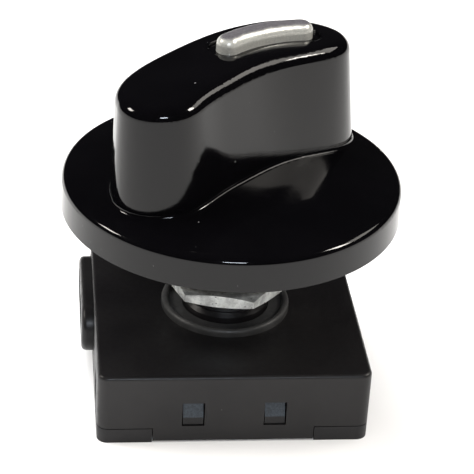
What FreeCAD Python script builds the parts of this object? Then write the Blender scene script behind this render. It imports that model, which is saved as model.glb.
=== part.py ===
"""Panel-mounted rotary battery switch with a large comma-shaped hand knob.

Frame: +Z up, origin at the centre of the underside on the knob axis, front face towards -Y.
All dimensions are millimetres.
"""
import FreeCAD, Part
import math
import os

from FreeCAD import Vector

os.makedirs("parts", exist_ok=True)

# --- housing ---
BODY = 50.0               # square outline
BODY_HALF = BODY / 2
BODY_TOP = 14.3
BODY_BOTTOM = 0.35        # the corner feet stand a little proud of the cover's lower edge
CORNER_R = 2.0
TOP_EDGE_R = 0.8
WALL = 2.0
ROOF = 2.2
ROOF_UNDER = BODY_TOP - ROOF
INNER_HALF = BODY_HALF - WALL

# --- corner feet and snap windows ---
FOOT_INNER = 14.95        # feet cover the corners from here outwards
FOOT_TOP = 2.95
NOTCH_GAP = 0.15
WINDOW_W = 4.1
WINDOW_Z = (3.55, 8.55)
HOOK_W = 3.7
HOOK_THICK = 1.5
HOOK_GAP = 0.1
HOOK_TOP = 8.3
HOOK_STEP = 5.2           # height where the catch's slope meets its flat lower face
HOOK_UNDER = 3.7
HOOK_REACH = 1.7
# (angle of the wall's outward normal, offset along that wall, anticlockwise positive)
HOOKS = ((270, -7.5), (270, 7.5), (90, -7.5), (90, 7.5), (0, -7.5), (0, 7.5), (180, 15.3))

# --- threaded neck, sealing ring, nut ---
NECK_R = 8.0
NECK_ROOT_R = 7.3
NECK_TOP = 27.0
THREAD_FROM = 15.8
THREAD_PITCH = 1.5
THREAD_TURNS = 7
RING_R = 12.2
RING_BEAD_R = 0.75
RING_WEB = 0.5
RING_BORE_R = 8.3
NUT_ACROSS_FLATS = 22.0
NUT_Z = (20.0, 22.4)
NUT_BORE_R = 8.05
NUT_TURN = 48.0           # rotation of a corner from +X, degrees
NUT_CHAMFER = 0.6

# --- knob ---
RIM_Z = 36.3
RIM_R = 31.4
RIM_TOP_R = 31.25
EDGE_R = 1.4
EDGE_Z = 42.7
DOME_TOP = 46.0
KNOB_WALL = 2.4
GRIP_TOP = 65.4
GRIP_CROWN_R = 200.0
GRIP_ROOF_UNDER = 61.8
GRIP_EDGE_R = 2.5
GRIP_FOOT_R = 0.7
GRIP_SAMPLES = 36
# The grip's sides run straight through two outlines, each listed anticlockwise from the left end
FOOT_AT = 45.0
GRIP_FOOT = ((-22.41, -12.48), (-17.63, -18.42), (-9.55, -18.70), (-3.80, -13.87), (1.27, -9.12),
             (6.21, -4.54), (11.26, -0.55), (17.17, 3.24), (22.85, 8.95), (23.08, 17.73),
             (17.11, 23.18), (9.19, 23.57), (2.41, 20.56), (-3.49, 16.46), (-8.84, 11.71),
             (-13.76, 6.67), (-18.44, 1.37), (-21.97, -5.05))
HEAD_AT = 63.2
GRIP_HEAD = ((-22.00, -12.30), (-17.20, -17.85), (-10.50, -17.50), (-5.48, -12.39), (-0.74, -7.25),
             (4.18, -2.31), (9.70, 1.97), (15.72, 5.53), (21.05, 10.00), (21.65, 16.65),
             (16.38, 21.55), (9.61, 21.94), (3.25, 19.14), (-2.49, 15.20), (-7.73, 10.56),
             (-12.66, 5.60), (-17.47, 0.53), (-21.50, -5.50))
HUB_Z = (28.7, 56.0)
HUB_R = 8.0
HUB_NARROW_R = 5.3
HUB_NARROW_Z = 42.0

# --- indicator bar, laid along an arc ---
BAR_CENTRE = (21.2, -17.4)
BAR_ARC_R = 32.0
BAR_ANGLES = (105.2, 135.0)
BAR_HALF_W = 2.2
BAR_TOP = 67.9
BAR_CROWN_R = 1.8
POCKET_MARGIN = 1.5
POCKET_EDGE_R = 0.35
POCKET_FLOOR = 64.8

# --- shaft ---
SHAFT_R = 5.0
SHAFT_TOP_R = 4.0
SHAFT_TOP = 55.5
SHAFT_FLAT = 2.8          # distance of the upper flat from the axis
ROTOR_SEAT_R = 3.5
ROTOR_FLAT = 2.9
JOURNAL_R = 2.9
JOURNAL_Z = (1.2, 4.5)
FIT = 0.05                # radial clearance of every turning fit
CLIP_Z = (40.0, 52.0)
CLIP_W = 3.2
CLIP_THICK = 0.8
CIRCLIP_Z = (27.15, 28.15)
CIRCLIP_R = 7.2
CIRCLIP_GROOVE_R = 3.4
CIRCLIP_BORE_R = 3.45
CIRCLIP_GAP = 40.0        # opening angle
ORING_Z = 24.6
ORING_SECTION_R = 0.8
WASHER_Z = (11.74, 12.04)
WASHER_R = (5.4, 8.6)

# --- rotor and moving contact ---
CAM_Z = (8.4, 11.7)
CAM_FLAT = 10.4           # distance of each detent flat from the axis
CAM_R = 12.2
ROTOR_HUB_R = 4.2
ROTOR_HUB_Z = 4.55
LUG_X = (6.2, 8.6)
LUG_Y = (3.7, 5.2)
STOP_R = (9.5, 14.4)
STOP_Z = 6.6
STOP_ANGLE = 225.0
STOP_HALF_W = 1.8
BRIDGE_Z = (4.6, 6.1)
BRIDGE_HALF = (12.0, 3.5)
BRIDGE_EYE_R = 6.4
BRIDGE_HOLE_R = 4.5
TIP_R = 2.2
TIP_H = 0.4
TIP_X = 9.5
CONE_R = (4.8, 6.2)       # cone washers that press the bridge down
CONE_THICK = 0.4
CONE_GAP = 0.02

# --- fixed contacts and terminals ---
FLOOR_Z = 2.5             # top of the base plate
STRIP = 1.2
STRIP_HALF_W = 2.6
TERMINAL_Y = (6.9, 16.5)
TERMINAL_X = (-22.8, -15.4)
SCREW_X = -19.0
CLAMP_Z = (3.7, 11.9)
CLAMP_HALF_W = 3.9
CABLE_Z = 7.9
CABLE_R = 3.5
CLAMP_BORE_R = 3.1
SCREW_R = 1.95
SCREW_Z = (0.9, 4.7)
SCREW_SLOT = (0.7, 0.9)
SCREW_HOLE_R = 2.3

# --- cable-entry insert ---
INSERT_Y = (-3.0, 22.4)
INSERT_Z = (3.4, 13.2)
INSERT_R = 4.6
INSERT_OUT = 27.3
INSERT_SEAT = 24.7
INSERT_GAP = 0.25
INSERT_EDGE_R = 1.0
PLUG_Y = (2.6, 20.8)
PLUG_Z = (4.2, 11.7)

# --- detent leaf springs ---
LEAF_Y = 10.5
LEAF_THICK = 0.5
LEAF_HALF_LEN = 14.4
LEAF_Z = (8.8, 11.2)
POST_X = (12.2, 14.6)
POST_Y = (9.3, 12.3)
POST_Z = 8.2


def box(x, y, z):
    """Axis-aligned box from three (low, high) pairs."""
    return Part.makeBox(x[1] - x[0], y[1] - y[0], z[1] - z[0], Vector(x[0], y[0], z[0]))


def cylinder(radius, z, x=0.0, y=0.0):
    """Upright cylinder between two heights."""
    return Part.makeCylinder(radius, z[1] - z[0], Vector(x, y, z[0]))


def tube(outer, inner, z):
    """Upright tube on the axis."""
    return cylinder(outer, z).cut(cylinder(inner, z))


def turned(points):
    """Solid of revolution about Z from (radius, height) corners."""
    corners = [Vector(r, 0, z) for r, z in points]
    face = Part.Face(Part.makePolygon(corners + corners[:1]))
    return face.revolve(Vector(0, 0, 0), Vector(0, 0, 1), 360)


def spun(shape, angle):
    """Copy turned about Z."""
    copy = shape.copy()
    copy.rotate(Vector(0, 0, 0), Vector(0, 0, 1), angle)
    return copy


def rounded_block(x, y, z, radius, axis):
    """Box whose four edges parallel to the named axis are rounded."""
    block = box(x, y, z)
    edges = [e for e in block.Edges if abs(e.tangentAt(e.FirstParameter).dot(axis)) > 0.99]
    return block.makeFillet(radius, edges)


def d_rod(radius, flat, z):
    """Upright rod with one flat facing +Y."""
    rod = cylinder(radius, z)
    return rod.cut(box((-radius, radius), (flat, radius + 1), z))


def wall_piece(shape, angle, offset):
    """Move a piece drawn for the wall facing +X to another wall."""
    copy = shape.copy()
    copy.translate(Vector(0, offset, 0))
    return spun(copy, angle)


def threaded_neck():
    """Neck with a V-grooved screw surface and a plain lead-in."""
    profile = [(0, ROOF_UNDER), (NECK_R, ROOF_UNDER), (NECK_R, THREAD_FROM)]
    for turn in range(THREAD_TURNS):
        start = THREAD_FROM + turn * THREAD_PITCH
        profile.append((NECK_ROOT_R, start + THREAD_PITCH / 2))
        profile.append((NECK_R, start + THREAD_PITCH * 0.95))
        profile.append((NECK_R, start + THREAD_PITCH))
    profile += [(NECK_ROOT_R, NECK_TOP), (0, NECK_TOP)]
    return turned(profile)


def housing_cover():
    """Square cover with its neck, snap windows, corner notches and leaf-spring posts."""
    span = (-BODY_HALF, BODY_HALF)
    inner = (-INNER_HALF, INNER_HALF)
    up = Vector(0, 0, 1)
    cover = rounded_block(span, span, (BODY_BOTTOM, BODY_TOP), CORNER_R, up)
    top_edges = [e for e in cover.Edges if e.BoundBox.ZMin > BODY_TOP - 0.01]
    cover = cover.makeFillet(TOP_EDGE_R, top_edges)
    cover = cover.cut(rounded_block(inner, inner, (0, ROOF_UNDER), 1.0, up))
    cover = cover.fuse(threaded_neck())
    cuts = [cylinder(SHAFT_R + FIT, (ROOF_UNDER - 1, NECK_TOP + 1))]
    window = box((INNER_HALF - 1, BODY_HALF + 1), (-WINDOW_W / 2, WINDOW_W / 2), WINDOW_Z)
    cuts += [wall_piece(window, angle, offset) for angle, offset in HOOKS]
    low = FOOT_INNER - NOTCH_GAP
    notch = box((low, BODY_HALF + 1), (low, BODY_HALF + 1), (0, FOOT_TOP + NOTCH_GAP))
    cuts += [spun(notch, quarter) for quarter in (0, 90, 180, 270)]
    cuts.append(insert_flange(INSERT_GAP, -BODY_HALF - 1, -INSERT_SEAT))
    cuts.append(box((-BODY_HALF - 1, -INNER_HALF + 1), PLUG_Y, PLUG_Z))
    cover = cover.cut(Part.makeCompound(cuts))
    return cover.fuse(leaf_posts()).removeSplitter()


def leaf_posts():
    """Four slotted posts under the roof that hold the detent springs' ends."""
    post = box(POST_X, POST_Y, (POST_Z, ROOF_UNDER))
    slot = box((POST_X[0] - 1, POST_X[1] + 1), (LEAF_Y, LEAF_Y + LEAF_THICK), (POST_Z - 1, LEAF_Z[1]))
    post = post.cut(slot)
    mirrored = post.mirror(Vector(0, 0, 0), Vector(1, 0, 0))
    return [post, mirrored, spun(post, 180), spun(mirrored, 180)]


def snap_hook():
    """Springy arm with a wedge catch, drawn for the wall facing +X."""
    face = INNER_HALF - HOOK_GAP
    back = face - HOOK_THICK
    nose = INNER_HALF + HOOK_REACH
    side = ((back, FLOOR_Z - 0.5), (face, FLOOR_Z - 0.5), (face, HOOK_UNDER), (nose, HOOK_UNDER),
            (nose, HOOK_STEP), (face, HOOK_TOP), (back, HOOK_TOP))
    corners = [Vector(x, -HOOK_W / 2, z) for x, z in side]
    outline = Part.Face(Part.makePolygon(corners + corners[:1]))
    return outline.extrude(Vector(0, HOOK_W, 0))


def stop_post(side):
    """Post on the base that meets the rotor's stop lug at one end of its quarter turn."""
    width = 2.4
    edge = STOP_HALF_W + 0.1
    post = box((13.0, 15.6), (edge, edge + width), (FLOOR_Z - 0.5, POST_Z - 0.1))
    if side < 0:
        post = post.mirror(Vector(0, 0, 0), Vector(0, 1, 0))
        return spun(post, STOP_ANGLE)
    return spun(post, STOP_ANGLE + 90)


def base_plate():
    """Base with four corner feet, snap hooks, shaft bearing, contact rests and stop posts."""
    edge = INNER_HALF - 0.2
    plate = box((-edge, edge), (-edge, edge), (BODY_BOTTOM, FLOOR_Z))
    feet = rounded_block((-BODY_HALF, BODY_HALF), (-BODY_HALF, BODY_HALF), (0, FOOT_TOP),
                         CORNER_R, Vector(0, 0, 1))
    outer = (-BODY_HALF - 1, BODY_HALF + 1)
    middle = (-FOOT_INNER, FOOT_INNER)
    inner = (-INNER_HALF, INNER_HALF)
    feet = feet.cut(Part.makeCompound([box(middle, outer, (-1, 4)), box(outer, middle, (-1, 4)),
                                       box(inner, inner, (FLOOR_Z, 4))]))
    pieces = [feet, cylinder(5.0, (FLOOR_Z - 0.5, 4.0)), stop_post(-1), stop_post(1)]
    pieces += [wall_piece(snap_hook(), angle, offset) for angle, offset in HOOKS]
    for y in (-TIP_X, TIP_X):
        pieces.append(box((-3, 3), (y - 2.4, y + 2.4), (FLOOR_Z - 0.5, 4.0)))
    gap_mid = (TERMINAL_Y[0] + TERMINAL_Y[1]) / 2
    pieces.append(box((TERMINAL_X[0] + 0.4, TERMINAL_X[1]), (gap_mid - 0.5, gap_mid + 0.5),
                      (FLOOR_Z - 0.5, CLAMP_Z[1] - 0.3)))
    plate = plate.fuse(pieces)
    cuts = [cylinder(JOURNAL_R + FIT, (JOURNAL_Z[0] - 0.1, JOURNAL_Z[1] + 1))]
    cuts += [cylinder(SCREW_HOLE_R, (-1, FLOOR_Z + 1), SCREW_X, y) for y in TERMINAL_Y]
    return plate.cut(Part.makeCompound(cuts)).removeSplitter()


def insert_flange(margin, x_low, x_high):
    """Round-cornered plate on the left wall, grown by a margin for its seat."""
    return rounded_block((x_low, x_high),
                         (INSERT_Y[0] - margin, INSERT_Y[1] + margin),
                         (INSERT_Z[0] - margin, INSERT_Z[1] + margin),
                         INSERT_R + margin, Vector(1, 0, 0))


def entry_insert():
    """Insert in the left wall with the two cable entries."""
    flange = insert_flange(0.0, -INSERT_OUT, -INSERT_SEAT)
    rim = [e for e in flange.Edges if e.BoundBox.XMax < -INSERT_OUT + 0.01]
    flange = flange.makeFillet(INSERT_EDGE_R, rim)
    plug = box((-INSERT_SEAT, -INNER_HALF), (PLUG_Y[0], PLUG_Y[1]), PLUG_Z)
    insert = flange.fuse(plug)
    length = INSERT_OUT - INNER_HALF + 2
    bores = [Part.makeCylinder(CABLE_R, length, Vector(-INSERT_OUT - 1, y, CABLE_Z), Vector(1, 0, 0))
             for y in TERMINAL_Y]
    return insert.cut(Part.makeCompound(bores)).removeSplitter()


def panel_gasket():
    """Sealing ring round the neck: a flat web with a round bead at its outer edge."""
    bead_at = RING_R - RING_BEAD_R
    web = tube(bead_at, RING_BORE_R, (BODY_TOP, BODY_TOP + RING_WEB))
    skirt = tube(RING_R, bead_at - RING_BEAD_R, (BODY_TOP, BODY_TOP + RING_BEAD_R))
    bead = Part.makeTorus(bead_at, RING_BEAD_R, Vector(0, 0, BODY_TOP + RING_BEAD_R))
    return web.fuse([skirt, bead]).removeSplitter()


def panel_nut():
    """Hexagon nut chamfered on both faces."""
    corner = NUT_ACROSS_FLATS / math.sqrt(3)
    angles = [math.radians(NUT_TURN + 60 * k) for k in range(6)]
    points = [Vector(corner * math.cos(a), corner * math.sin(a), NUT_Z[0]) for a in angles]
    hexagon = Part.Face(Part.makePolygon(points + points[:1]))
    nut = hexagon.extrude(Vector(0, 0, NUT_Z[1] - NUT_Z[0]))
    flat = NUT_ACROSS_FLATS / 2
    blank = turned(((0, NUT_Z[0]), (flat, NUT_Z[0]), (corner + 0.2, NUT_Z[0] + NUT_CHAMFER),
                    (corner + 0.2, NUT_Z[1] - NUT_CHAMFER), (flat, NUT_Z[1]), (0, NUT_Z[1])))
    return nut.common(blank).cut(cylinder(NUT_BORE_R, (NUT_Z[0] - 1, NUT_Z[1] + 1)))


def dome_arc(radius, height, lift):
    """Arc over the disc from its edge to the axis."""
    dome_r = (radius ** 2 + lift ** 2) / (2 * lift)
    half = radius / 2
    sag = dome_r - math.sqrt(dome_r ** 2 - half ** 2)
    return Part.Arc(Vector(radius, 0, height), Vector(half, 0, height + lift - sag),
                    Vector(0, 0, height + lift)).toShape()


def segment(a, b):
    """Straight edge in the XZ plane between two (radius, height) points."""
    return Part.LineSegment(Vector(a[0], 0, a[1]), Vector(b[0], 0, b[1])).toShape()


def disc_solid(rim, shoulder, edge, dome_top):
    """Domed disc from its rim foot, the top of its wall and the start of its dome."""
    mid = Vector(shoulder[0] - (shoulder[0] - edge[0]) * (1 - math.sqrt(0.5)), 0,
                 shoulder[1] + (edge[1] - shoulder[1]) * math.sqrt(0.5))
    rounding = Part.Arc(Vector(shoulder[0], 0, shoulder[1]), mid, Vector(edge[0], 0, edge[1]))
    edges = [segment((0, rim[1]), rim), segment(rim, shoulder), rounding.toShape(),
             dome_arc(edge[0], edge[1], dome_top - edge[1]), segment((0, dome_top), (0, rim[1]))]
    return Part.Face(Part.Wire(edges)).revolve(Vector(0, 0, 0), Vector(0, 0, 1), 360)


def closed_curve(points):
    """Smooth closed curve through the points."""
    curve = Part.BSplineCurve()
    curve.interpolate(Points=points, PeriodicFlag=True)
    return curve


def grip_wire(inset, height):
    """Comma-shaped outline of the grip at one height, moved inwards by an inset."""
    share = (height - FOOT_AT) / (HEAD_AT - FOOT_AT)
    outline = closed_curve([Vector(f[0] + (h[0] - f[0]) * share, f[1] + (h[1] - f[1]) * share, height)
                            for f, h in zip(GRIP_FOOT, GRIP_HEAD)])
    up = Vector(0, 0, 1)
    points = []
    for k in range(GRIP_SAMPLES):
        at = outline.LastParameter * k / GRIP_SAMPLES
        inwards = up.cross(outline.tangent(at)[0])
        points.append(outline.value(at) + inwards * inset)
    return Part.Wire(closed_curve(points).toShape())


def grip_sides(inset, low, high):
    """Solid between two heights inside the grip's drafted sides."""
    return Part.makeLoft([grip_wire(inset, low), grip_wire(inset, high)], True, True)


def crown_ball(top):
    """Ball whose surface runs parallel to the grip's crown through a height on the axis."""
    centre_z = GRIP_TOP - GRIP_CROWN_R
    return Part.makeSphere(top - centre_z, Vector(0, 0, centre_z))


def grip_solid():
    """Drafted grip with a slightly crowned top and a rounded top edge."""
    grip = grip_sides(0.0, RIM_Z + 2, GRIP_TOP + 2).common(crown_ball(GRIP_TOP))
    top_edges = [e for e in grip.Edges if e.BoundBox.ZMin > GRIP_TOP - 5]
    return grip.makeFillet(GRIP_EDGE_R, top_edges)


def grip_cavity():
    """Space inside the hollow grip."""
    return grip_sides(KNOB_WALL, RIM_Z - 1, GRIP_ROOF_UNDER)


def arc_slot(margin, low, high):
    """Round-ended strip along the indicator's arc, grown by a margin, between two crowned surfaces."""
    start = low - 3
    centre = Vector(BAR_CENTRE[0], BAR_CENTRE[1], start)
    a0, a1 = [math.radians(a) for a in BAR_ANGLES]
    half = BAR_HALF_W + margin

    def at(radius, angle):
        return centre + Vector(radius * math.cos(angle), radius * math.sin(angle), 0)

    def side(radius):
        return Part.Arc(at(radius, a0), at(radius, (a0 + a1) / 2), at(radius, a1)).toShape()

    tip = half / BAR_ARC_R
    caps = [Part.Arc(at(BAR_ARC_R + half, a), at(BAR_ARC_R / math.cos(tip), a + turn),
                     at(BAR_ARC_R - half, a)).toShape() for a, turn in ((a0, -tip), (a1, tip))]
    wire = Part.Wire(Part.sortEdges([side(BAR_ARC_R + half), side(BAR_ARC_R - half)] + caps)[0])
    strip = Part.Face(wire).extrude(Vector(0, 0, high - start))
    return strip.common(crown_ball(high)).cut(crown_ball(low))


def knob():
    """Hollow knob: domed disc, comma-shaped grip and a D-bored hub."""
    outer = disc_solid((RIM_R, RIM_Z), (RIM_TOP_R, EDGE_Z - EDGE_R),
                       (RIM_TOP_R - EDGE_R, EDGE_Z), DOME_TOP)
    body = outer.fuse(grip_solid())
    foot = [e for e in body.Edges if EDGE_Z < e.BoundBox.ZMin and e.BoundBox.ZMax < DOME_TOP - 0.1
            and e.BoundBox.XLength < 2 * RIM_R - 4]
    body = body.makeFillet(GRIP_FOOT_R, foot)
    inner = disc_solid((RIM_R - KNOB_WALL, RIM_Z - 1), (RIM_TOP_R - KNOB_WALL, EDGE_Z - 3.2),
                       (RIM_TOP_R - KNOB_WALL - 1, EDGE_Z - 2.2), DOME_TOP - KNOB_WALL)
    body = body.cut(inner).cut(grip_cavity())
    hub = cylinder(HUB_R, (HUB_Z[0], HUB_NARROW_Z)).fuse(cylinder(HUB_NARROW_R, HUB_Z))
    web = box((-19, 19), (-0.8, 0.8), (HUB_NARROW_Z, HUB_Z[1]))
    web = spun(web, 40).common(grip_cavity())
    body = body.fuse([hub, web])
    bore = d_rod(SHAFT_TOP_R, SHAFT_FLAT + CLIP_THICK, (HUB_Z[0] - 1, SHAFT_TOP + 0.2))
    pocket = arc_slot(POCKET_MARGIN, POCKET_FLOOR, GRIP_TOP + 2)
    body = body.cut(bore).cut(pocket).removeSplitter()
    lip = [e for e in body.Edges if e.BoundBox.ZMax > POCKET_FLOOR and e.BoundBox.ZMin > GRIP_TOP - 1.5
           and pocket.distToShape(Part.Vertex(e.valueAt((e.FirstParameter + e.LastParameter) / 2)))[0] < 0.01]
    return body.makeFillet(POCKET_EDGE_R, lip)


def indicator_bar():
    """Bright curved bar with a rounded crown."""
    bar = arc_slot(0.0, POCKET_FLOOR, BAR_TOP)
    top_edges = [e for e in bar.Edges if e.BoundBox.ZMin > BAR_TOP - 1.6]
    return bar.makeFillet(BAR_CROWN_R, top_edges)


def knob_clip():
    """Flat spring between the shaft's flat and the knob's bore."""
    return box((-CLIP_W / 2, CLIP_W / 2), (SHAFT_FLAT, SHAFT_FLAT + CLIP_THICK), CLIP_Z)


def shaft():
    """Stepped shaft with a journal, a rotor seat, two grooves and a flatted top."""
    rod = cylinder(JOURNAL_R, JOURNAL_Z)
    pieces = [d_rod(ROTOR_SEAT_R, ROTOR_FLAT, (JOURNAL_Z[1], ROOF_UNDER + 0.1)),
              cylinder(SHAFT_R, (ROOF_UNDER + 0.1, HUB_Z[0])),
              d_rod(SHAFT_TOP_R, SHAFT_FLAT, (HUB_Z[0], SHAFT_TOP))]
    rod = rod.fuse(pieces)
    circlip_groove = tube(SHAFT_R + 1, CIRCLIP_GROOVE_R, CIRCLIP_Z)
    half = ORING_SECTION_R + 0.1
    oring_groove = tube(SHAFT_R + 1, SHAFT_R - 2 * ORING_SECTION_R, (ORING_Z - half, ORING_Z + half))
    return rod.cut(circlip_groove).cut(oring_groove).removeSplitter()


def shaft_o_ring():
    """Sealing ring in the shaft's lower groove."""
    return Part.makeTorus(SHAFT_R - ORING_SECTION_R, ORING_SECTION_R, Vector(0, 0, ORING_Z))


def shaft_circlip():
    """Open ring in the upper groove that stops the shaft dropping through the neck."""
    ring = tube(CIRCLIP_R, CIRCLIP_BORE_R, (CIRCLIP_Z[0] + FIT, CIRCLIP_Z[1] - FIT))
    reach = 2 * CIRCLIP_R
    half = math.radians(CIRCLIP_GAP / 2)
    corners = [Vector(0, 0, CIRCLIP_Z[0]),
               Vector(reach * math.cos(half), -reach * math.sin(half), CIRCLIP_Z[0]),
               Vector(reach * math.cos(half), reach * math.sin(half), CIRCLIP_Z[0])]
    wedge = Part.Face(Part.makePolygon(corners + corners[:1])).extrude(Vector(0, 0, 1))
    return ring.cut(wedge)


def thrust_washer():
    """Thin washer between the rotor and the roof."""
    return tube(WASHER_R[1], WASHER_R[0], WASHER_Z)


def rotor():
    """Square detent cam with a hub, four driving lugs and a stop lug."""
    flat = (-CAM_FLAT, CAM_FLAT)
    cam = box(flat, flat, CAM_Z).common(cylinder(CAM_R, CAM_Z))
    pieces = [cylinder(ROTOR_HUB_R, (ROTOR_HUB_Z, CAM_Z[0]))]
    for x in (LUG_X, (-LUG_X[1], -LUG_X[0])):
        for y in (LUG_Y, (-LUG_Y[1], -LUG_Y[0])):
            pieces.append(box(x, y, (BRIDGE_Z[0], CAM_Z[0])))
    stop = box(STOP_R, (-STOP_HALF_W, STOP_HALF_W), (STOP_Z, CAM_Z[0]))
    pieces.append(spun(stop, STOP_ANGLE))
    solid = cam.fuse(pieces)
    seat = d_rod(ROTOR_SEAT_R + FIT, ROTOR_FLAT + FIT, (ROTOR_HUB_Z - 1, CAM_Z[1] + 1))
    return solid.cut(seat).removeSplitter()


def contact_bridge():
    """Copper bar that joins the two fixed contacts."""
    x, y = BRIDGE_HALF
    bar = rounded_block((-x, x), (-y, y), BRIDGE_Z, 1.0, Vector(0, 0, 1))
    bar = bar.fuse(cylinder(BRIDGE_EYE_R, BRIDGE_Z))
    return bar.cut(cylinder(BRIDGE_HOLE_R, (BRIDGE_Z[0] - 1, BRIDGE_Z[1] + 1))).removeSplitter()


def contact_tips(z_low):
    """Pair of round silver tips."""
    return Part.makeCompound([cylinder(TIP_R, (z_low, z_low + TIP_H), x) for x in (-TIP_X, TIP_X)])


def contact_spring():
    """Two cone washers, narrow ends together, that press the bridge down."""
    inner, outer = CONE_R
    low, high = BRIDGE_Z[1], CAM_Z[0]
    middle = (low + high) / 2
    crest = middle - CONE_GAP / 2
    washer = turned(((outer, low), (outer, low + CONE_THICK), (inner, crest), (inner, crest - CONE_THICK)))
    other = washer.mirror(Vector(0, 0, middle), Vector(0, 0, 1))
    return Part.makeCompound([washer, other])


def fixed_contact(terminal_y, tip_x):
    """Copper strip from a terminal to the pad beneath one end of the bridge."""
    z = (FLOOR_Z, FLOOR_Z + STRIP)
    reach = max(tip_x, -TIP_X) + STRIP_HALF_W
    run = box((TERMINAL_X[0], reach), (terminal_y - STRIP_HALF_W, terminal_y + STRIP_HALF_W), z)
    leg = box((tip_x - STRIP_HALF_W, tip_x + STRIP_HALF_W), (-STRIP_HALF_W, terminal_y), z)
    hole = cylinder(SCREW_HOLE_R, (z[0] - 1, z[1] + 1), SCREW_X, terminal_y)
    return run.fuse(leg).cut(hole).removeSplitter()


def terminal_clamps():
    """Two plated clamp blocks, each with a cable bore and a tapped hole beneath."""
    blocks = []
    for y in TERMINAL_Y:
        block = box(TERMINAL_X, (y - CLAMP_HALF_W, y + CLAMP_HALF_W), CLAMP_Z)
        length = TERMINAL_X[1] - TERMINAL_X[0] + 2
        bore = Part.makeCylinder(CLAMP_BORE_R, length, Vector(TERMINAL_X[0] - 1, y, CABLE_Z),
                                 Vector(1, 0, 0))
        tapped = cylinder(SCREW_R + FIT, (CLAMP_Z[0] - 1, CABLE_Z), SCREW_X, y)
        blocks.append(block.cut(bore).cut(tapped))
    return Part.makeCompound(blocks)


def terminal_screw(y):
    """Slotted grub screw that rises into the cable bore."""
    screw = cylinder(SCREW_R, SCREW_Z, SCREW_X, y)
    slot_w, slot_d = SCREW_SLOT
    slot = box((SCREW_X - 3, SCREW_X + 3), (y - slot_w / 2, y + slot_w / 2),
               (SCREW_Z[0] - 1, SCREW_Z[0] + slot_d))
    return screw.cut(slot)


def detent_springs():
    """Two flat springs that press on opposite flats of the cam."""
    leaf = box((-LEAF_HALF_LEN, LEAF_HALF_LEN), (LEAF_Y, LEAF_Y + LEAF_THICK), LEAF_Z)
    return Part.makeCompound([leaf, spun(leaf, 180)])


PARTS = {
    "housing_cover": housing_cover(),
    "base_plate": base_plate(),
    "entry_insert": entry_insert(),
    "panel_gasket": panel_gasket(),
    "panel_nut": panel_nut(),
    "knob": knob(),
    "indicator_bar": indicator_bar(),
    "knob_clip": knob_clip(),
    "shaft": shaft(),
    "shaft_o_ring": shaft_o_ring(),
    "shaft_circlip": shaft_circlip(),
    "thrust_washer": thrust_washer(),
    "rotor": rotor(),
    "contact_bridge": contact_bridge(),
    "bridge_tips": contact_tips(BRIDGE_Z[0] - TIP_H),
    "contact_spring": contact_spring(),
    "fixed_contact_a": fixed_contact(TERMINAL_Y[0], -TIP_X),
    "fixed_contact_b": fixed_contact(TERMINAL_Y[1], TIP_X),
    "fixed_tips": contact_tips(FLOOR_Z + STRIP),
    "terminal_clamps": terminal_clamps(),
    "terminal_screw_a": terminal_screw(TERMINAL_Y[0]),
    "terminal_screw_b": terminal_screw(TERMINAL_Y[1]),
    "detent_springs": detent_springs(),
}

for name, shape in PARTS.items():
    shape.exportStep(f"parts/{name}.step")
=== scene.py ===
"""Battery switch: materials, floor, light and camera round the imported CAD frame."""
import math

import bpy
from mathutils import Matrix, Vector


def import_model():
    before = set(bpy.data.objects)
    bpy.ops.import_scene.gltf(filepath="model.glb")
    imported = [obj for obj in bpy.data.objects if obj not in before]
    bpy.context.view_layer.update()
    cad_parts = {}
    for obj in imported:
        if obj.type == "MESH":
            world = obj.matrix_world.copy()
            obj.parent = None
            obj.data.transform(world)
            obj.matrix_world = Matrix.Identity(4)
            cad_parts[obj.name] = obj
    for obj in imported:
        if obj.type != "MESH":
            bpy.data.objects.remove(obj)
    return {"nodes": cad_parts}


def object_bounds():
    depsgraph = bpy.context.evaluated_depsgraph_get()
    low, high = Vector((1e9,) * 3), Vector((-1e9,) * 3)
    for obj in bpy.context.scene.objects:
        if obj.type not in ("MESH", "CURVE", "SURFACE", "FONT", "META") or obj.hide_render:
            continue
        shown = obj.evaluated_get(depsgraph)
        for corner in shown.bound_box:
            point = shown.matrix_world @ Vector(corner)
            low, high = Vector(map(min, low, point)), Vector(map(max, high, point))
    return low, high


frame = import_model()
cad_box = [list(corner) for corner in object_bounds()]
nodes = frame["nodes"]

# Camera: degrees and metres, turned about the object's own frame
CAM_AZ = -7.138
CAM_EL = 30.476
CAM_ROLL = 3.5
CAM_DIST = 0.368405
CAM_SIDE = 0.003088
CAM_RISE = 0.024773
SENSOR = 36.0             # mm
LENS = 143.33924          # mm

# Places on the object that a material follows, in metres
CROWN_R = 0.2             # radius of the grip's crowned top
BAR_TOP = cad_box[1][2]   # the indicator bar is the highest piece
PAINTED_SHADE_BELOW = 0.0003     # where the bar's crown painted a darker grey (painted shade) starts and ends, from BAR_TOP
PAINTED_SHADE_ABOVE = 0.0002
RAGGED = 0.0005
CATCH_FACE = (0.0229, 0.0231)      # the catches lie further out than this
CATCH_FOOT = (0.00515, 0.0053)     # and higher than this

# Stage
FLOOR_HALF = 1.6          # m
ROOM = 0.012              # brightness of the dim room
WARM = (1.0, 0.95, 0.88)
COOL = (0.82, 0.90, 1.0)
SOFT_WARM = (1.0, 0.86, 0.72)


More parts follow.
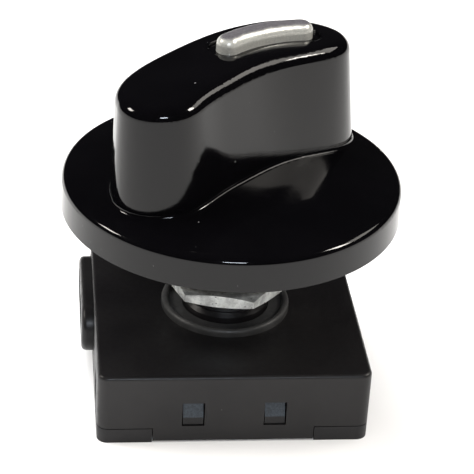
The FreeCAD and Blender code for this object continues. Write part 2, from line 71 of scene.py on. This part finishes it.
# ---------------------------------------------------------------- node helpers
class Graph:
    """Short way to write a material's node tree."""

    def __init__(self, name):
        self.mat = bpy.data.materials.new(name)
        self.mat.use_nodes = True
        self.tree = self.mat.node_tree
        self.bsdf = self.tree.nodes["Principled BSDF"]
        self.coords = self.tree.nodes.new("ShaderNodeTexCoord").outputs["Object"]

    def node(self, kind, **settings):
        made = self.tree.nodes.new(kind)
        for key, value in settings.items():
            setattr(made, key, value)
        return made

    def feed(self, socket, value):
        """Links an output, or sets a plain value."""
        if isinstance(value, bpy.types.NodeSocket):
            self.tree.links.new(value, socket)
        else:
            socket.default_value = value

    def set(self, **values):
        """Sets or links the shader's sockets; underscores stand for spaces."""
        for key, value in values.items():
            self.feed(self.bsdf.inputs[key.replace("_", " ")], value)

    def noise(self, per_metre, detail=2.0, rough=0.5, offset=(0, 0, 0), stretch=(1, 1, 1)):
        place = self.node("ShaderNodeMapping")
        self.feed(place.inputs["Vector"], self.coords)
        place.inputs["Location"].default_value = offset
        place.inputs["Scale"].default_value = stretch
        made = self.node("ShaderNodeTexNoise")
        self.feed(made.inputs["Vector"], place.outputs["Vector"])
        made.inputs["Scale"].default_value = per_metre
        made.inputs["Detail"].default_value = detail
        made.inputs["Roughness"].default_value = rough
        return made.outputs["Fac"]

    def cells(self, per_metre, out="Distance", offset=(0, 0, 0)):
        place = self.node("ShaderNodeMapping")
        self.feed(place.inputs["Vector"], self.coords)
        place.inputs["Location"].default_value = offset
        made = self.node("ShaderNodeTexVoronoi", feature="F1")
        self.feed(made.inputs["Vector"], place.outputs["Vector"])
        made.inputs["Scale"].default_value = per_metre
        return made.outputs[out]

    def remap(self, value, low, high, to_low=0.0, to_high=1.0, smooth=True):
        made = self.node("ShaderNodeMapRange")
        made.interpolation_type = "SMOOTHSTEP" if smooth else "LINEAR"
        self.feed(made.inputs["Value"], value)
        limits = {"From Min": low, "From Max": high, "To Min": to_low, "To Max": to_high}
        for name, number in limits.items():
            made.inputs[name].default_value = number
        return made.outputs["Result"]

    def maths(self, operation, a, b=0.0):
        made = self.node("ShaderNodeMath", operation=operation)
        self.feed(made.inputs[0], a)
        self.feed(made.inputs[1], b)
        return made.outputs[0]

    def blend(self, factor, a, b):
        """Mixes two colours."""
        made = self.node("ShaderNodeMix", data_type="RGBA")
        self.feed(made.inputs["Factor"], factor)
        self.feed(made.inputs[6], a)
        self.feed(made.inputs[7], b)
        return made.outputs[2]

    def bump(self, height, distance, strength=1.0, below=None):
        made = self.node("ShaderNodeBump")
        made.inputs["Strength"].default_value = strength
        made.inputs["Distance"].default_value = distance
        self.feed(made.inputs["Height"], height)
        if below is not None:
            self.feed(made.inputs["Normal"], below)
        return made.outputs["Normal"]

    def axis(self, index):
        """X, Y or Z of the object coordinate."""
        made = self.node("ShaderNodeSeparateXYZ")
        self.feed(made.inputs[0], self.coords)
        return made.outputs[index]

    def dust(self, per_metre, size, share, offset=(0, 0, 0)):
        """Sparse small specks: 1 on a speck, 0 elsewhere."""
        near = self.remap(self.cells(per_metre, offset=offset), size, size * 0.5)
        pick = self.cells(per_metre, out="Color", offset=offset)
        split = self.node("ShaderNodeSeparateColor")
        self.feed(split.inputs[0], pick)
        chosen = self.maths("GREATER_THAN", split.outputs[0], 1 - share)
        return self.maths("MULTIPLY", near, chosen)


def grey(value):
    return (value, value, value, 1.0)


# ---------------------------------------------------------------- materials
def moulded(name, colour, light, rough):
    """Satin moulded plastic: fine spark-eroded grain, slow colour drift, a few pale specks."""
    g = Graph(name)
    drift = g.noise(60, 3)
    speck = g.dust(420, 0.07, 0.12)
    base = g.blend(g.remap(drift, 0.3, 0.7), colour, light)
    g.set(Base_Color=g.blend(g.maths("MULTIPLY", speck, 0.5), base, grey(0.30)),
          Roughness=g.remap(g.noise(900, 3, offset=(3, 1, 2)), 0.3, 0.7, rough - 0.05, rough + 0.07),
          Normal=g.bump(g.noise(5200, 2), 0.000012, 0.6),
          IOR=1.38)
    return g


def gloss_black():
    """Polished phenolic black with a trace of orange peel, faint haze and dust."""
    g = Graph("knob_gloss_black")
    speck = g.maths("MAXIMUM", g.dust(260, 0.045, 0.30), g.dust(610, 0.05, 0.08, (5, 2, 1)))
    haze = g.remap(g.noise(90, 4), 0.35, 0.75, 0.0, 0.4)
    base = g.blend(haze, (0.0014, 0.0013, 0.0017, 1), (0.0026, 0.0024, 0.0030, 1))
    g.set(Base_Color=g.blend(g.maths("MULTIPLY", speck, 0.6), base, grey(0.35)),
          Roughness=g.maths("ADD", g.remap(g.noise(140, 3, offset=(1, 7, 3)), 0.3, 0.7, 0.05, 0.10),
                            g.maths("MULTIPLY", speck, 0.4)),
          Normal=g.bump(g.noise(260, 2), 0.000012, 0.25),
          IOR=1.38)
    return g


def rubber(name, value, rough):
    """Dull black rubber, a little uneven in tone."""
    g = Graph(name)
    g.set(Base_Color=g.blend(g.remap(g.noise(300, 3), 0.3, 0.7), grey(value), grey(value * 1.6)),
          Roughness=g.remap(g.noise(1500, 2), 0.3, 0.7, rough - 0.06, rough + 0.08),
          Normal=g.bump(g.noise(4000, 2), 0.00002, 0.5))
    return g


def metal(name, colour, dark, rough, grain=900, depth=0.00001, stretch=(1, 1, 1)):
    """Metal whose colour, roughness and fine relief vary together."""
    g = Graph(name)
    patch = g.noise(grain * 0.3, 4, stretch=stretch)
    fine = g.noise(grain * 3, 3, offset=(2, 5, 1), stretch=stretch)
    g.set(Base_Color=g.blend(g.remap(patch, 0.35, 0.7), dark, colour),
          Metallic=1.0,
          Roughness=g.remap(fine, 0.3, 0.7, rough - 0.08, rough + 0.1),
          Normal=g.bump(fine, depth, 0.6))
    return g


def zinc():
    """Rough hot-dipped zinc: mottled, pitted, dull."""
    g = Graph("zinc_rough")
    mottle = g.noise(420, 5, 0.65)
    pits = g.remap(g.cells(900, offset=(1, 2, 3)), 0.0, 0.35)
    lumps = g.noise(1300, 4, 0.6, offset=(4, 4, 1))
    tone = g.blend(g.remap(mottle, 0.32, 0.68), (0.42, 0.43, 0.42, 1), (0.86, 0.88, 0.85, 1))
    g.set(Base_Color=g.blend(g.remap(pits, 0.0, 0.6), (0.22, 0.22, 0.21, 1), tone),
          Metallic=0.6,
          Roughness=g.remap(lumps, 0.3, 0.7, 0.42, 0.64),
          Normal=g.bump(lumps, 0.00012, 0.8, g.bump(mottle, 0.0003, 0.6)))
    return g


def silver_paint():
    """Satin silver lacquer with fine flake: sides painted pale as painted light, and the crown painted
    a darker grey as painted shade.
    """
    g = Graph("silver_pointer")
    flake = g.cells(7000, out="Color")
    split = g.node("ShaderNodeSeparateColor")
    g.feed(split.inputs[0], flake)
    # Painted light and shade: pale colour for the sides, darker grey for the crown
    lit_sides = g.blend(split.outputs[0], (0.50, 0.50, 0.47, 1), (0.66, 0.66, 0.61, 1))
    shaded_top = g.blend(split.outputs[0], (0.10, 0.095, 0.105, 1), (0.20, 0.19, 0.205, 1))
    # Height with the crown's fall added back, so that it is even along the bar
    across = g.maths("ADD", g.maths("POWER", g.axis(0), 2.0), g.maths("POWER", g.axis(1), 2.0))
    height = g.maths("ADD", g.axis(2), g.maths("DIVIDE", across, 2 * CROWN_R))
    ragged = g.maths("MULTIPLY", g.noise(700, 4, offset=(2, 2, 2)), RAGGED)
    # Mask for the crown's painted shade, with a ragged edge, picked by height
    painted_shade_mask = g.remap(g.maths("ADD", height, ragged), BAR_TOP - PAINTED_SHADE_BELOW, BAR_TOP + PAINTED_SHADE_ABOVE)
    g.set(Base_Color=g.blend(painted_shade_mask, lit_sides, shaded_top),
          Metallic=0.45,
          Roughness=g.remap(g.noise(1100, 3), 0.3, 0.7, 0.28, 0.38),
          Normal=g.bump(g.noise(3500, 3), 0.000006, 0.5))
    return g


def base_moulding():
    """The base's plastic; the catches in the windows are scuffed to a paler blue-grey."""
    g = moulded("base_moulded", (0.0055, 0.0052, 0.0060, 1), (0.0090, 0.0085, 0.0095, 1), 0.42)
    out = g.maths("MAXIMUM", g.maths("ABSOLUTE", g.axis(0)), g.maths("ABSOLUTE", g.axis(1)))
    outer = g.remap(out, *CATCH_FACE)
    high = g.remap(g.axis(2), *CATCH_FOOT)
    speckle = g.remap(g.noise(2600, 4, 0.7), 0.35, 0.65, 0.25, 1.0)
    scuff = g.maths("MULTIPLY", g.maths("MULTIPLY", outer, high), speckle)
    plain = g.bsdf.inputs["Base Color"].links[0].from_socket
    g.set(Base_Color=g.blend(scuff, plain, (0.042, 0.054, 0.066, 1)))
    return g


def finishes():
    """One finish for each CAD node."""
    copper = metal("rolled_copper", (0.80, 0.42, 0.27, 1), (0.62, 0.30, 0.18, 1), 0.30)
    spring = metal("spring_steel_strip", grey(0.55), grey(0.38), 0.28)
    plated = metal("plated_screw", (0.66, 0.67, 0.66, 1), (0.45, 0.46, 0.46, 1), 0.35)
    tips = metal("contact_silver_tip", grey(0.85), grey(0.65), 0.28)
    chosen = {
        "housing_cover": moulded("cover_moulded", (0.0055, 0.0050, 0.0056, 1),
                                 (0.0095, 0.0088, 0.0092, 1), 0.38),
        "entry_insert": moulded("insert_moulded", (0.0060, 0.0057, 0.0062, 1),
                                (0.0105, 0.0100, 0.0100, 1), 0.36),
        "base_plate": base_moulding(),
        "knob": gloss_black(),
        "panel_gasket": rubber("gasket_black", 0.026, 0.45),
        "shaft_o_ring": rubber("seal_black", 0.010, 0.4),
        "panel_nut": zinc(),
        "indicator_bar": silver_paint(),
        "shaft": metal("turned_steel", grey(0.62), grey(0.45), 0.30, 900, 0.000006, (1, 1, 6)),
        "rotor": moulded("rotor_nylon", (0.62, 0.60, 0.54, 1), (0.70, 0.68, 0.62, 1), 0.45),
        "terminal_clamps": metal("clamp_brass", (0.72, 0.58, 0.30, 1), (0.55, 0.42, 0.20, 1), 0.32),
    }
    for names, finish in ((("contact_bridge", "fixed_contact_a", "fixed_contact_b"), copper),
                          (("contact_spring", "detent_springs", "knob_clip", "shaft_circlip"), spring),
                          (("terminal_screw_a", "terminal_screw_b", "thrust_washer"), plated),
                          (("bridge_tips", "fixed_tips"), tips)):
        for name in names:
            chosen[name] = finish
    return chosen


def dress():
    """Gives each CAD node its finish."""
    chosen = finishes()
    for name, node in nodes.items():
        node.data.materials.clear()
        node.data.materials.append(chosen[name].mat)


# ---------------------------------------------------------------- stage
def floor():
    """Plain pale floor under the feet."""
    corners = [(FLOOR_HALF * x, FLOOR_HALF * y, 0) for x, y in ((-1, -1), (1, -1), (1, 1), (-1, 1))]
    mesh = bpy.data.meshes.new("studio_floor")
    mesh.from_pydata(corners, [], [(0, 1, 2, 3)])
    plane = bpy.data.objects.new("studio_floor", mesh)
    bpy.context.scene.collection.objects.link(plane)
    g = Graph("studio_floor")
    g.set(Base_Color=g.blend(g.noise(6, 2), grey(0.86), grey(0.88)), Roughness=0.9)
    g.set(Specular_IOR_Level=0.1)
    mesh.materials.append(g.mat)


def lamp(name, size, power, at, colour=(1, 1, 1), aim=(0, 0, 0.03), glossy=True):
    """Rectangular area light that faces a point."""
    data = bpy.data.lights.new(name, "AREA")
    data.shape = "RECTANGLE"
    data.size, data.size_y = size
    data.energy = power
    data.color = colour
    light = bpy.data.objects.new(name, data)
    light.location = at
    light.rotation_euler = (Vector(aim) - Vector(at)).to_track_quat("-Z", "Y").to_euler()
    light.visible_glossy = glossy
    bpy.context.scene.collection.objects.link(light)


def world(value):
    """Even dim light from all round."""
    made = bpy.data.worlds.new("dim_room")
    made.use_nodes = True
    made.node_tree.nodes["Background"].inputs["Color"].default_value = grey(value)
    bpy.context.scene.world = made


def camera():
    """Camera at the photograph's angle."""
    az, el, roll = map(math.radians, (CAM_AZ, CAM_EL, CAM_ROLL))
    back = Vector((math.sin(az) * math.cos(el), -math.cos(az) * math.cos(el), math.sin(el)))
    right = Vector((math.cos(az), math.sin(az), 0))
    up = back.cross(right)
    side = right * math.cos(roll) + up * math.sin(roll)
    rise = up * math.cos(roll) - right * math.sin(roll)
    data = bpy.data.cameras.new("photo_camera")
    data.sensor_width = SENSOR
    data.lens = LENS
    data.clip_start = 0.01
    data.clip_end = 20
    cam = bpy.data.objects.new("photo_camera", data)
    place = side * CAM_SIDE + rise * CAM_RISE + back * CAM_DIST
    turn = Matrix((side, rise, back)).transposed().to_4x4()
    cam.matrix_world = Matrix.Translation(place) @ turn
    bpy.context.scene.collection.objects.link(cam)
    bpy.context.scene.camera = cam


dress()
floor()
world(ROOM)
lamp("ceiling", (2.2, 2.0), 19, (-0.2, 0.2, 1.1), glossy=False)
lamp("back_left_fill", (0.6, 0.6), 4.0, (-0.26, 0.30, 0.46), glossy=False)
lamp("left_box", (0.20, 0.15), 2.8, (-0.72, 0.10, 0.56), WARM)
lamp("right_box", (0.16, 0.20), 4.6, (0.68, -0.10, 0.66), WARM)
lamp("right_panel", (0.50, 0.24), 1.9, (0.76, 0.22, 0.72), WARM)
lamp("camera_window", (0.20, 0.05), 2.6, (-0.02, -0.80, 0.54), COOL)
lamp("front_fill", (1.2, 0.6), 4.6, (0.05, -1.15, 0.62), SOFT_WARM, glossy=False)
camera()
bpy.context.scene.view_settings.view_transform = "Standard"
